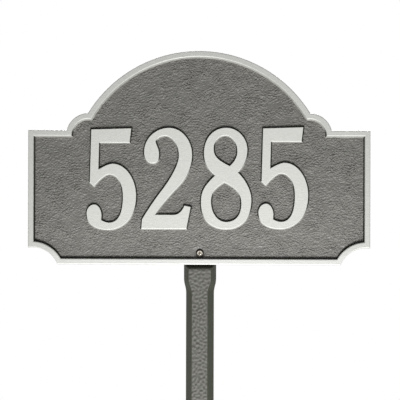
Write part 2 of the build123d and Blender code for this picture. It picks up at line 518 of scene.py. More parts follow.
class SharedEffects:
    """Node groups for what several finishes share. Each puts out one value."""

    cloud_detail: float = 4.0
    skin_detail: float = 3.0
    line_scale: float = 420.0
    pit_share: float = 0.35
    pit_depth: float = 0.4

    def __init__(self) -> None:
        """Builds every group once."""
        self.mottle = self.make_mottle()
        self.paint_line = self.make_paint_line()
        self.cast_grain = self.make_cast_grain()

    @staticmethod
    def open_group(
        name: str, inputs: dict[str, str], output: str
    ) -> tuple[bpy.types.NodeTree, Tree, bpy.types.NodeOutputs, bpy.types.Node]:
        """Starts a group with named sockets.

        Args:
            name: Name of the group.
            inputs: Socket type for each input's name.
            output: Name of its one output, a number.

        Returns:
            The group, its tree helper, its input sockets by name and its output node.
        """
        group = bpy.data.node_groups.new(name, "ShaderNodeTree")
        for title, kind in inputs.items():
            group.interface.new_socket(name=title, in_out="INPUT", socket_type=kind)
        group.interface.new_socket(name=output, in_out="OUTPUT", socket_type="NodeSocketFloat")
        tree = Tree(group)
        entry = tree.add("NodeGroupInput")
        return group, tree, entry.outputs, tree.add("NodeGroupOutput")

    def make_mottle(self) -> bpy.types.NodeTree:
        """Cloudy tone round 1 for paint that is nowhere quite even."""
        sockets = {"Place": "NodeSocketVector", "Scale": "NodeSocketFloat"}
        sockets["Spread"] = "NodeSocketFloat"
        group, tree, given, out = self.open_group("mottle", sockets, "Tone")
        coarse = tree.noise(given["Place"], given["Scale"], self.cloud_detail)
        centred = tree.math("SUBTRACT", coarse, 0.5)
        tone = tree.math("MULTIPLY_ADD", centred, given["Spread"], 1.0)
        tree.feed(out, {"Tone": tone})
        return group

    def make_paint_line(self) -> bpy.types.NodeTree:
        """Ragged line where paint ends at a depth below a raised face."""
        sockets = {"Place": "NodeSocketVector"}
        for title in ("Depth", "Line", "Softness", "Raggedness"):
            sockets[title] = "NodeSocketFloat"
        group, tree, given, out = self.open_group("paint_line", sockets, "Mask")
        wander = tree.noise(given["Place"], self.line_scale, self.skin_detail)
        wander = tree.math("SUBTRACT", wander, 0.5)
        depth = tree.math("MULTIPLY_ADD", wander, given["Raggedness"], given["Depth"])
        start = tree.math("SUBTRACT", given["Line"], given["Softness"])
        end = tree.math("ADD", given["Line"], given["Softness"])
        mask = tree.math("SUBTRACT", 1.0, tree.rise(depth, start, end))
        tree.feed(out, {"Mask": mask})
        return group

    def make_cast_grain(self) -> bpy.types.NodeTree:
        """Height of a sand-cast skin under paint: fine noise with small pits in it."""
        sockets = {"Place": "NodeSocketVector", "Scale": "NodeSocketFloat"}
        group, tree, given, out = self.open_group("cast_grain", sockets, "Height")
        grain = tree.noise(given["Place"], given["Scale"], self.skin_detail)
        inputs = {"Vector": given["Place"], "Scale": given["Scale"]}
        cells = tree.add("ShaderNodeTexVoronoi", inputs).outputs["Distance"]
        pits = tree.math("MULTIPLY", tree.rise(cells, 0.0, self.pit_share), self.pit_depth)
        tree.feed(out, {"Height": tree.math("ADD", grain, pits)})
        return group


def rgba(colour: Colour) -> tuple[float, float, float, float]:
    """Opaque colour in the form that a node socket takes."""
    return (*colour, 1.0)


def new_material(name: str) -> tuple[bpy.types.Material, Tree, bpy.types.Node, Socket]:
    """Material with one Principled BSDF.

    Args:
        name: Name of the material.

    Returns:
        The material, its tree helper, its shader node and the Object coordinates.
    """
    material = bpy.data.materials.new(name)
    material.use_nodes = True
    material.node_tree.nodes.clear()
    tree = Tree(material.node_tree)
    shader = tree.add("ShaderNodeBsdfPrincipled")
    tree.add("ShaderNodeOutputMaterial", {"Surface": shader.outputs["BSDF"]})
    place = tree.add("ShaderNodeTexCoord").outputs["Object"]
    return material, tree, shader, place


@dataclass(frozen=True)
class PlaquePaint:
    """Dark textured paint over the whole casting, with silver rolled on its raised faces.

    The silver ends at a ragged line below the faces. As painted light from below, the silver is
    painted farther down the walls that face the ground and those walls are painted pale; as
    painted shade, the other walls are painted darker than the field. As painted light, the field
    is painted lighter towards the plaque's lower edge, and its rough patches are painted a little
    paler to offset the shade of their stronger bumps.
    """

    field: Colour = (0.226, 0.222, 0.204)
    # Painted shade: the darker colour of the field's valleys.
    crease: Colour = (0.195, 0.191, 0.175)
    # Painted shade: colour of the walls that don't face the ground, darker than the field.
    painted_wall_shading: Colour = (0.035, 0.034, 0.029)
    # Painted light: pale colour of the walls that face the ground, as if lit from below.
    painted_wall_light: Colour = (0.430, 0.427, 0.400)
    # Painted light: the field is lighter towards the plaque's lower edge, nearer the light from
    # below.
    painted_foot_light: Colour = (0.340, 0.332, 0.308)
    silver: Colour = (0.712, 0.715, 0.678)
    rim_silver: Colour = (0.650, 0.653, 0.620)
    # Painted light: silver of the rim's lower bar, as if lit more from below.
    lit_lower_rim_silver: Colour = (0.745, 0.752, 0.724)
    # Painted highlight: bright silver along the numerals' edges.
    edge_highlight: Colour = (0.950, 0.952, 0.920)
    field_roughness: float = 0.34
    wall_roughness: float = 0.95
    silver_roughness: float = 0.46
    silver_metallic: float = 0.20
    specular: float = 0.28
    silver_depth: float = 0.15 * MM
    rim_silver_depth: float = 0.50 * MM
    lit_lower_rim_heights: tuple[float, float] = (0.220, 0.209)
    # Painted light: the silver runs this much farther down the walls that face the ground.
    lit_silver_run: float = 0.6 * MM
    line_softness: float = 0.06 * MM
    line_raggedness: float = 0.15 * MM
    highlight_from: tuple[float, float] = (0.01 * MM, 0.05 * MM)
    highlight_until: tuple[float, float] = (0.6 * MM, 0.9 * MM)
    wall_until: tuple[float, float] = (1.0 * MM, 1.5 * MM)
    foot_light_heights: tuple[float, float] = (0.31, 0.20)
    foot_light_share: float = 0.24
    cloud_scale: float = 60.0
    cloud_spread: float = 0.04
    patch_swing: tuple[float, float] = (4.0, -1.0)
    # Painted light: rough patches are painted paler to offset the shade of their stronger bumps.
    patch_paleness: float = 0.12
    streak_turn: float = radians(24)
    streak_stretch: float = 9.0
    streak_scale: float = 260.0
    streak_swing: tuple[float, float] = (0.26, 0.87)
    streak_height: float = 0.16
    ridge_scale: float = 780.0
    grain_scale: float = 520.0
    grain_heights: tuple[float, float] = (0.06, 0.18)
    bump_distance: float = 0.90 * MM

    def field_colour(
        self, tree: Tree, axes: bpy.types.NodeOutputs, relief: tuple[float, float]
    ) -> Socket:
        """Colour of the field: painted shade in its valleys, painted light towards its foot.

        Args:
            tree: Tree of the material.
            axes: Outputs with X, Y and Z of the Object coordinates.
            relief: Y of the field's valleys and of its ridges.

        Returns:
            The colour.
        """
        # Painted shade: the field is darker in its valleys.
        raised = tree.rise(axes["Y"], *relief)
        field = tree.mix_colour(raised, rgba(self.crease), rgba(self.field))
        # Painted light: lighter towards the plaque's lower edge.
        foot_lit = tree.rise(axes["Z"], *self.foot_light_heights)
        foot_lit = tree.math("MULTIPLY", foot_lit, self.foot_light_share)
        return tree.mix_colour(foot_lit, field, rgba(self.painted_foot_light))

    def silver_colour(
        self, tree: Tree, height: Socket, below: Socket, numeral: Socket, streaks: Socket
    ) -> Socket:
        """Colour of the silver: painted light low on the rim, painted highlight at numerals'
        edges.

        Args:
            tree: Tree of the material.
            height: Z of the Object coordinates.
            below: Depth below the raised face.
            numeral: 1 on the numerals.
            streaks: Noise of the roller's streaks.

        Returns:
            The colour.
        """
        # Painted highlight along the numerals' edges, just below their faces.
        bright = tree.rise(below, *self.highlight_from)
        bright = tree.math("SUBTRACT", bright, tree.rise(below, *self.highlight_until))
        bright = tree.math("MULTIPLY", bright, numeral)
        # Painted light: the rim's silver is paler towards its lower bar.
        low = tree.rise(height, *self.lit_lower_rim_heights)
        rim = tree.mix_colour(low, rgba(self.rim_silver), rgba(self.lit_lower_rim_silver))
        silver = tree.mix_colour(numeral, rim, rgba(self.silver))
        silver = tree.mix_colour(bright, silver, rgba(self.edge_highlight))
        return tree.tinted(silver, tree.math("MULTIPLY_ADD", streaks, *self.streak_swing))

    def grain(self, tree: Tree, effects: SharedEffects, place: Socket, patches: Socket) -> Socket:
        """Height of the bare paint's skin: a cast grain, with patchy ridges at the front.

        Args:
            tree: Tree of the material.
            effects: Shared node groups.
            place: Object coordinates.
            patches: How rough the paint is from place to place.

        Returns:
            The height.
        """
        front = tree.attribute("faces_front")
        ridges = tree.noise(place, self.ridge_scale, detail=0.0)
        ridges = tree.math("MULTIPLY", ridges, patches)
        ridges = tree.math("MULTIPLY", ridges, front)
        share = tree.mix(front, *self.grain_heights)
        skin = tree.group(effects.cast_grain, {"Place": place, "Scale": self.grain_scale})
        return tree.math("MULTIPLY_ADD", skin, share, ridges)

    def material(self, effects: SharedEffects, relief: tuple[float, float]) -> bpy.types.Material:
        """Builds the paint.

        Args:
            effects: Shared node groups.
            relief: Y of the field's valleys and of its ridges.

        Returns:
            The material.
        """
        material, tree, shader, place = new_material("plaque_paint")
        below, down = tree.attribute("below_face"), tree.attribute("faces_down")
        numeral, steep = tree.attribute("on_numeral"), tree.attribute("steep")
        axes = tree.add("ShaderNodeSeparateXYZ", {0: place}).outputs
        edge = tree.mix(numeral, self.rim_silver_depth, self.silver_depth)
        # Painted light: the silver line sits lower on walls that face the ground.
        run = tree.math("MULTIPLY_ADD", down, self.lit_silver_run, edge)
        line = {"Place": place, "Depth": below, "Line": run}
        line |= {"Softness": self.line_softness, "Raggedness": self.line_raggedness}
        silvered = tree.group(effects.paint_line, line)
        upper = tree.math("SUBTRACT", 1.0, tree.rise(below, *self.wall_until))
        walled = tree.math("MAXIMUM", steep, tree.math("MULTIPLY", upper, numeral))
        # Painted light and shade on the walls: pale where they face the ground, dark elsewhere.
        painted_wall_shading = tree.mix_colour(down, rgba(self.painted_wall_shading), rgba(self.painted_wall_light))
        patches = tree.noise(place, self.cloud_scale, detail=1.0)
        patches = tree.math("MULTIPLY_ADD", patches, *self.patch_swing)
        # Painted light: paler where the patches' bumps are stronger, offsetting their shade.
        paler = tree.math("MULTIPLY_ADD", patches, self.patch_paleness, 1 - self.patch_paleness)
        clouds = {"Place": place, "Scale": self.cloud_scale, "Spread": self.cloud_spread}
        tone = tree.math("MULTIPLY", tree.group(effects.mottle, clouds), paler)
        bare = tree.mix_colour(walled, self.field_colour(tree, axes, relief), painted_wall_shading)
        slant, stretch = (0, self.streak_turn, 0), (1, 1, self.streak_stretch)
        turned = {"Vector": place, "Rotation": slant, "Scale": stretch}
        drawn = tree.add("ShaderNodeMapping", turned).outputs[0]
        streaks = tree.noise(drawn, self.streak_scale, detail=4.0)
        silver = self.silver_colour(tree, axes["Z"], below, numeral, streaks)
        marks = tree.math("MULTIPLY", streaks, self.streak_height)
        skin = tree.mix(silvered, self.grain(tree, effects, place, patches), marks)
        bump = tree.add("ShaderNodeBump", {"Height": skin, "Distance": self.bump_distance})
        roughness = tree.mix(walled, self.field_roughness, self.wall_roughness)
        sources = {
            "Base Color": tree.mix_colour(silvered, tree.tinted(bare, tone), silver),
            "Metallic": tree.math("MULTIPLY", silvered, self.silver_metallic),
            "Roughness": tree.mix(silvered, roughness, self.silver_roughness),
            "Normal": bump.outputs["Normal"],
        }
        tree.feed(shader, sources)
        shader.inputs["Specular IOR Level"].default_value = self.specular
        return material


@dataclass(frozen=True)
class StakePaint:
    """Satin paint on the stake, grey where it is hammered and more olive on its smooth sides."""

    hammered: Colour = (0.188, 0.185, 0.169)
    # Painted shade: the darker colour of the hammered hollows.
    shaded_hollow: Colour = (0.135, 0.134, 0.121)
    smooth: Colour = (0.066, 0.072, 0.052)
    roughness: float = 0.60
    specular: float = 0.15
    front_rise: tuple[float, float] = (0.0, 0.08)
    peak_rise: tuple[float, float] = (0.2, 0.9)
    cloud_scale: float = 85.0
    cloud_spread: float = 0.22
    grain_scale: float = 700.0
    bump_distance: float = 0.05 * MM

    def material(self, effects: SharedEffects) -> bpy.types.Material:
        """Builds the paint from shared node groups."""
        material, tree, shader, place = new_material("stake_paint")
        hammered = tree.attribute("hammered")
        # Painted shade: the hammered front is darker in its hollows.
        peak = tree.rise(hammered, *self.peak_rise)
        face = tree.mix_colour(peak, rgba(self.shaded_hollow), rgba(self.hammered))
        colour = tree.mix_colour(tree.rise(hammered, *self.front_rise), rgba(self.smooth), face)
        clouds = {"Place": place, "Scale": self.cloud_scale, "Spread": self.cloud_spread}
        tone = tree.group(effects.mottle, clouds)
        grain = tree.group(effects.cast_grain, {"Place": place, "Scale": self.grain_scale})
        bump = tree.add("ShaderNodeBump", {"Height": grain, "Distance": self.bump_distance})
        sources = {"Base Color": tree.tinted(colour, tone), "Normal": bump.outputs["Normal"]}
        tree.feed(shader, sources)
        shader.inputs["Roughness"].default_value = self.roughness
        shader.inputs["Specular IOR Level"].default_value = self.specular
        return material


@dataclass(frozen=True)
class ScrewPlating:
    """Warm nickel plating, with painted shade, dark and dull, round the head's foot and in its
    recess.
    """

    metal: Colour = (0.800, 0.735, 0.640)
    # Painted shade: a dark, dull colour round the foot of the head and in the recess.
    painted_shade: Colour = (0.035, 0.031, 0.026)
    roughness: float = 0.24
    shaded_roughness: float = 0.80
    specular: float = 0.08
    unshaded_share: float = 0.66
    unshaded_drop: float = 0.5 * MM
    recess_shade: float = 0.8
    line_softness: float = 0.25 * MM
    line_raggedness: float = 0.5 * MM
    cloud_scale: float = 700.0
    cloud_spread: float = 0.25

    def material(self, effects: SharedEffects, axis: Vector, head: float) -> bpy.types.Material:
        """Builds the plating.

        Args:
            effects: Shared node groups.
            axis: Point on the screw's axis.
            head: Radius of the head.

        Returns:
            The material.
        """
        material, tree, shader, place = new_material("screw_plating")
        offset = Vector((0, 0, self.unshaded_drop)) - axis
        centred = tree.add("ShaderNodeMapping", {"Vector": place, "Location": offset}).outputs[0]
        flat = tree.add("ShaderNodeMapping", {"Vector": centred, "Scale": (1, 0, 1)}).outputs[0]
        radius = tree.add("ShaderNodeVectorMath", {0: flat}, operation="LENGTH").outputs["Value"]
        ring = {"Place": place, "Depth": radius, "Line": self.unshaded_share * head}
        ring |= {"Softness": self.line_softness, "Raggedness": self.line_raggedness}
        # Painted shade: the metal turns dark and dull round the head's foot and down the recess.
        unshaded = tree.group(effects.paint_line, ring)
        kept = tree.math("MULTIPLY_ADD", tree.attribute("recessed"), -self.recess_shade, 1.0)
        unshaded = tree.math("MULTIPLY", unshaded, kept)
        clouds = {"Place": place, "Scale": self.cloud_scale, "Spread": self.cloud_spread}
        metal = tree.tinted(rgba(self.metal), tree.group(effects.mottle, clouds))
        sources = {
            "Base Color": tree.mix_colour(unshaded, rgba(self.painted_shade), metal),
            "Metallic": unshaded,
            "Roughness": tree.mix(unshaded, self.shaded_roughness, self.roughness),
        }
        tree.feed(shader, sources)
        shader.inputs["Specular IOR Level"].default_value = self.specular
        return material


def dress(piece: bpy.types.Object, material: bpy.types.Material, node: str) -> None:
    """Gives a piece its material and its place in the frame.

    Args:
        piece: The finished piece.
        material: Its material.
        node: CAD node that it stands for.
    """
    piece.data.materials.clear()
    piece.data.materials.append(material)
    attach(piece, BODY)
    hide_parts(node)
    triangles = sum(len(face.vertices) - 2 for face in piece.data.polygons)
    LOG.info("%s stands for %s with %d triangles", piece.name, node, triangles)


@dataclass(frozen=True)
class FieldRelief:
    """Wrinkled relief of the field: short strokes and pebbles, long creases and long folds."""

    seed: int = 528
    wrinkle_height: float = 0.260 * MM
    steepest: float = 2.4
    directions: int = 8
    focus: float = 1.8
    wander_length: float = 20 * MM
    wander_swing: tuple[float, float] = (0.5, 0.25)
    stroke_wave: float = 2.8 * MM
    stroke_length: float = 1.0 * MM
    pebble_share: float = 0.9
    pebble_wave: float = 2.2 * MM
    pebble_band: float = 0.3
    patch_length: float = 11 * MM
    patch_swing: tuple[float, float] = (0.75, -0.24)
    patch_limits: tuple[float, float] = (0.25, 2.6)
    swell_height: float = 0.05 * MM
    swell_wave: float = 5.5 * MM
    swell_band: float = 0.4
    crease_depth: float = 0.30 * MM
    crease_length: float = 22 * MM
    crease_salts: tuple[int, ...] = (4, 24, 44)
    fold_height: float = 0.42 * MM
    fold_length: float = 9 * MM
    fold_salts: tuple[int, ...] = (64, 84, 104)
    line_width: float = 0.6 * MM
    line_wobble: float = 0.07
    wobble_length: float = 5 * MM
    line_rise: tuple[float, float] = (0.2, 0.9)
    valley_share: float = 0.002

    def lines(self, noise: Noise, salts: tuple[int, ...], length: float) -> Array:
        """Long curved lines, each broken off in places.

        A line follows the zeros of a smooth field as exp(-(distance / width)^2). The distance is
        the field's value over its slope.

        Args:
            noise: Random fields on the slab's grid.
            salts: Number for each family of lines.
            length: Size of the smooth fields' clouds.

        Returns:
            From 0 beside the lines to 1 on them.
        """
        total = np.zeros(noise.shape)
        for salt in salts:
            wobble = self.line_wobble * noise.soft(salt + 1, self.wobble_length)
            path = noise.soft(salt, length) + wobble
            slope_up, slope_across = np.gradient(path, *noise.spacing)
            distance = np.abs(path) / (np.hypot(slope_up, slope_across) + 1)
            line = np.exp(-((distance / self.line_width) ** 2))
            line *= smooth_step(noise.soft(salt + 2, self.patch_length), *self.line_rise)
            total = np.maximum(total, line)
        return total

    def strokes(self, noise: Noise) -> Array:
        """Short strokes whose direction turns slowly.

        Fields of strokes, each in its own direction at an angle a, are weighted by
        exp(focus * (cos(2 * (w - a)) - 1)), where w is a slowly wandering direction.

        Args:
            noise: Random fields on the slab's grid.

        Returns:
            Heights with a spread of about 1.
        """
        swing, offset = self.wander_swing
        wander = swing * noise.soft(1, self.wander_length) + offset
        total, weight = np.zeros(noise.shape), np.zeros(noise.shape)
        for index in range(self.directions):
            angle = np.pi * index / self.directions
            near = np.exp(self.focus * (np.cos(2 * (wander - angle)) - 1))
            total += near * noise.strokes(10 + index, self.stroke_wave, self.stroke_length, angle)
            weight += near**2
        return total / np.sqrt(weight)

    def heights(self, shape: tuple[int, int], spacing: tuple[float, float]) -> Array:
        """Relief on a grid.

        Strokes and pebbles are scaled from place to place by the exponential of cloudy noise,
        and flattened at their steepest as s * tanh(height / s). A low swell lies under them.
        Long creases are cut and long folds are raised.

        Args:
            shape: Points up and across the grid.
            spacing: Distance between them up and across.

        Returns:
            Heights above the valleys, in metres.
        """
        noise = Noise(shape, spacing, self.seed)
        swing, offset = self.patch_swing
        strokes = self.strokes(noise)
        roughness = np.exp(swing * noise.soft(2, self.patch_length) + offset)
        pebbles = noise.ripple(3, self.pebble_wave, self.pebble_band)
        crease = self.lines(noise, self.crease_salts, self.crease_length)
        fold = self.lines(noise, self.fold_salts, self.fold_length)
        mixed = np.clip(roughness, *self.patch_limits) * (strokes + self.pebble_share * pebbles)
        height = self.wrinkle_height * self.steepest * np.tanh(mixed / self.steepest)
        height += self.swell_height * noise.ripple(8, self.swell_wave, self.swell_band)
        height += self.fold_height * fold - self.crease_depth * crease
        return np.maximum(height - np.quantile(height, self.valley_share), 0)


@dataclass
class PlaqueCasting:
    """The casting with its wrinkled field, from the CAD node and a textured slab."""

    node: str = "plaque"
    ledge_height: float = 136.3 * MM
    arch_radius: float = 131.9 * MM
    arch_centre_height: float = 84.3 * MM
    shoulder_radius: float = 23.2 * MM
    shoulder_centre: tuple[float, float] = (111.5 * MM, 130.3 * MM)
    notch_radius: float = 27.7 * MM
    notch_centre: tuple[float, float] = (168.8 * MM, -10.4 * MM)
    rim_relief: float = 5.0 * MM
    numeral_relief: float = 3.8 * MM
    slab_inset: float = 4.6 * MM
    slab_thickness: float = 1.0 * MM
    numerals_inset: float = 10.0 * MM
    grid_spacing: tuple[float, float] = (0.66 * MM, 0.8 * MM)
    field_lift: float = 0.03 * MM
    screw_seat_radius: float = 4.9 * MM
    seat_fade: float = 1.2 * MM
    hole_radius: float = 2.4 * MM
    hole_sides: int = 48
    height_margin: float = 0.01 * MM
    raised_share: float = 0.55
    crease_angle: float = radians(20)

    def __post_init__(self) -> None:
        """Reads the plaque's box and the screw's axis from the frame."""
        self.low, self.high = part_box(self.node)
        self.middle = (self.low.x + self.high.x) / 2
        screw_low, screw_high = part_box("screw")
        self.screw_axis = (screw_low + screw_high) / 2
        self.field_front = self.low.y + self.rim_relief
        self.numeral_front = self.field_front - self.numeral_relief

    def inside(self, x: Array, z: Array, inset: float) -> Array:
        """Whether points lie inside the plaque's outline, moved inwards by an inset.

        The outline is a rectangle with an arch on top, and a disc at each shoulder, with a
        disc cut from each lower corner. Discs that are added shrink by the inset, and those
        that are cut away grow by it.

        Args:
            x: X of the points.
            z: Z of the points.
            inset: Distance inwards.

        Returns:
            True for each point inside.
        """
        side, height = np.abs(x - self.middle), z - self.low.z
        inner = (side < self.high.x - self.middle - inset) & (height > inset)
        inner &= height < self.ledge_height - inset
        arch = np.hypot(side, height - self.arch_centre_height) < self.arch_radius - inset
        inner |= arch & (height > self.arch_centre_height)
        across, up = self.shoulder_centre
        inner |= np.hypot(side - across, height - up) < self.shoulder_radius - inset
        across, up = self.notch_centre
        return inner & (np.hypot(side - across, height - up) > self.notch_radius + inset)

    def field_slab(self) -> bpy.types.Object:
        """Closed slab whose front is the wrinkled field and whose edge is inside the rim."""
        step_up, step_across = self.grid_spacing
        across = np.arange(self.low.x, self.high.x, step_across)
        up = np.arange(self.low.z, self.high.z, step_up)
        x, z = np.meshgrid(across, up)
        height = FieldRelief().heights(x.shape, self.grid_spacing)
        from_screw = np.hypot(x - self.screw_axis.x, z - self.screw_axis.z)
        seat = self.screw_seat_radius
        height *= smooth_step(from_screw, seat, seat + self.seat_fade)
        self.highest = height.max()
        front = np.stack([x, self.field_front - self.field_lift - height, z], -1)
        back = np.stack([x, np.full_like(x, self.field_front + self.slab_thickness), z], -1)
        centre_x, centre_z = x[:-1, :-1] + step_across / 2, z[:-1, :-1] + step_up / 2
        cells = self.inside(centre_x, centre_z, self.slab_inset)
        return mesh_piece("field_slab", *closed_slab(front, back, cells))

    def screw_hole(self) -> bpy.types.Object:
        """Closed rod that clears the screw's hole through the slab again."""
        depths = np.array([self.low.y, self.field_front + self.slab_thickness])
        radius = np.full((2, self.hole_sides), self.hole_radius)
        depth = np.repeat(depths[:, None], self.hole_sides, 1)
        return mesh_piece("screw_hole", *turned_tube(radius, depth, self.screw_axis))

    def build(self, frame: dict, effects: SharedEffects) -> bpy.types.Object:
        """Makes the casting and dresses it.

        Args:
            effects: Shared node groups.

        Returns:
            The finished piece.
        """
        piece = merged_copy(frame["nodes"][self.node], "plaque_casting")
        combine(piece, self.field_slab(), SolidOperation.UNION)
        combine(piece, self.screw_hole(), SolidOperation.DIFFERENCE)
        x, y, z = vertex_points(piece.data).T
        on_numeral = self.inside(x, z, self.numerals_inset)
        below = y - np.where(on_numeral, self.numeral_front, self.low.y)
        store_values(piece.data, "below_face", below)
        store_values(piece.data, "on_numeral", on_numeral)
        store_values(piece.data, "faces_down", facing_down(piece.data), Domain.FACE)
        store_values(piece.data, "steep", steepness(piece.data), Domain.FACE)
        store_values(piece.data, "faces_front", facing_front(piece.data), Domain.FACE)
        top = self.field_front - self.field_lift
        on_field = y < top + self.height_margin
        on_field &= y > top - self.highest - self.height_margin
        on_field &= self.inside(x, z, self.rim_relief)
        shade(piece.data, self.crease_angle, on_field)
        relief = (top, top - self.raised_share * self.highest)
        material = PlaquePaint().material(effects, relief)
        dress(piece, material, self.node)
        return piece


@dataclass
class GroundStake:
    """The cast stake with a hammered front, from the CAD node and a textured slab."""

    node: str = "stake"
    depth: float = 12.0 * MM
    shoulder_clearance: float = 0.2 * MM
    shoulder_below_plaque: float = 3.4 * MM
    head_half_widths: tuple[float, float] = (16.35 * MM, 12.15 * MM)
    shank_half_widths: tuple[float, float] = (14.1 * MM, 8.8 * MM)
    tip_half_widths: tuple[float, float] = (3.5 * MM, 1.5 * MM)
    head_drop: float = 14.2 * MM
    neck_length: float = 14.1 * MM
    point_length: float = 75.0 * MM
    tip_depth: float = 4.0 * MM
    edge_margin: float = 0.85 * MM
    edge_fade: float = 0.6 * MM
    slab_thickness: float = 1.0 * MM
    grid_spacing: float = 0.8 * MM
    columns: int = 30
    lift: float = 0.02 * MM
    seed: int = 71
    map_margin: int = 4
    map_columns: int = 48
    bump_height: float = 1.24 * MM
    bump_wave: float = 4.0 * MM
    bump_band: float = 0.35
    bump_swing: float = 0.25
    dent_share: float = 0.35
    dent_wave: float = 2.4 * MM
    dent_band: float = 0.3
    front_mark: float = 0.1
    crease_angle: float = radians(28)

    def __post_init__(self) -> None:
        """Reads the stake's box and the plaque's lower edge, and places the hammered front."""
        self.low, self.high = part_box(self.node)
        self.plaque_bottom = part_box("plaque")[0].z
        self.slab_top = self.plaque_bottom - self.shoulder_below_plaque - self.shoulder_clearance
        self.slab_bottom = self.low.z + self.edge_margin
        self.bumps = self.hammer_bumps()

    def front_depth(self, z: Array) -> Array:
        """Y of the front at a height: flat, then back towards the tip in a straight line."""
        share = np.clip(1 - (z - self.low.z) / self.point_length, 0, 1)
        return self.low.y + share * (self.depth - self.tip_depth)

    def half_width(self, z: Array, y: Array) -> Array:
        """Half of the stake's width at a height and a depth.

        At the back and at the front it goes smoothly from shank to head over the neck, and
        straight to the tip over the point. Between them it is in proportion to the depth.

        Args:
            z: Heights.
            y: Depths.

        Returns:
            Half widths.
        """
        neck_top = self.plaque_bottom - self.head_drop
        neck = smooth_step(z, neck_top - self.neck_length, neck_top)
        point = np.clip((z - self.low.z) / self.point_length, 0, 1)
        widths = []
        for head, shank, tip in zip(
            self.head_half_widths, self.shank_half_widths, self.tip_half_widths
        ):
            widths.append((tip + (shank - tip) * point) + (head - shank) * neck)
        back, front = widths
        return back + (front - back) * (self.high.y - y) / self.depth

    def hammer_bumps(self) -> HeightMap:
        """Heights of the hammered front, from 0 in its hollows to 1 on its bumps.

        Bumps of one size and a share of smaller ones are added, scaled round a half and
        clipped.

        Returns:
            The heights.
        """
        rows = int((self.slab_top - self.slab_bottom) / self.grid_spacing) + self.map_margin
        shape, spacing = (rows, self.map_columns), (self.grid_spacing, self.grid_spacing)
        noise = Noise(shape, spacing, self.seed)
        mixed = noise.ripple(1, self.bump_wave, self.bump_band)
        mixed += self.dent_share * noise.ripple(2, self.dent_wave, self.dent_band)
        heights = np.clip(0.5 + self.bump_swing * mixed, 0, 1)
        left = -self.map_columns / 2 * self.grid_spacing
        return HeightMap(heights, left, self.slab_bottom, self.grid_spacing)

    def hammered_slab(self) -> bpy.types.Object:
        """Closed slab on the front, whose bumps fade out at its edges."""
        rise = np.arange(self.slab_bottom, self.slab_top, self.grid_spacing)
        share, z = np.meshgrid(np.linspace(-1, 1, self.columns + 1), rise)
        surface = self.front_depth(z)
        half = self.half_width(z, surface) - self.edge_margin
        x = share * half
        height = self.bumps.at(x, z)
        for inwards in (half - np.abs(x), self.slab_top - z, z - self.slab_bottom):
            height *= smooth_step(inwards, 0, self.edge_fade)
        front_y = surface - self.lift - height * self.bump_height
        front = np.stack([x, front_y, z], -1)
        back = np.stack([x, surface + self.slab_thickness, z], -1)
        return mesh_piece("hammered_slab", *closed_slab(front, back))

    def build(self, frame: dict, effects: SharedEffects) -> bpy.types.Object:
        """Makes the stake and dresses it.

        Args:
            effects: Shared node groups.

        Returns:
            The finished piece.
        """
        piece = merged_copy(frame["nodes"][self.node], "ground_stake")
        combine(piece, self.hammered_slab(), SolidOperation.UNION)
        x, y, z = vertex_points(piece.data).T
        proud = self.front_depth(z) - y
        hammered = self.front_mark + self.bumps.at(x, z)
        hammered = np.where(proud > self.lift / 2, hammered, 0)
        store_values(piece.data, "hammered", hammered)
        shade(piece.data, self.crease_angle, proud > 2 * self.lift)
        dress(piece, StakePaint().material(effects), self.node)
        return piece


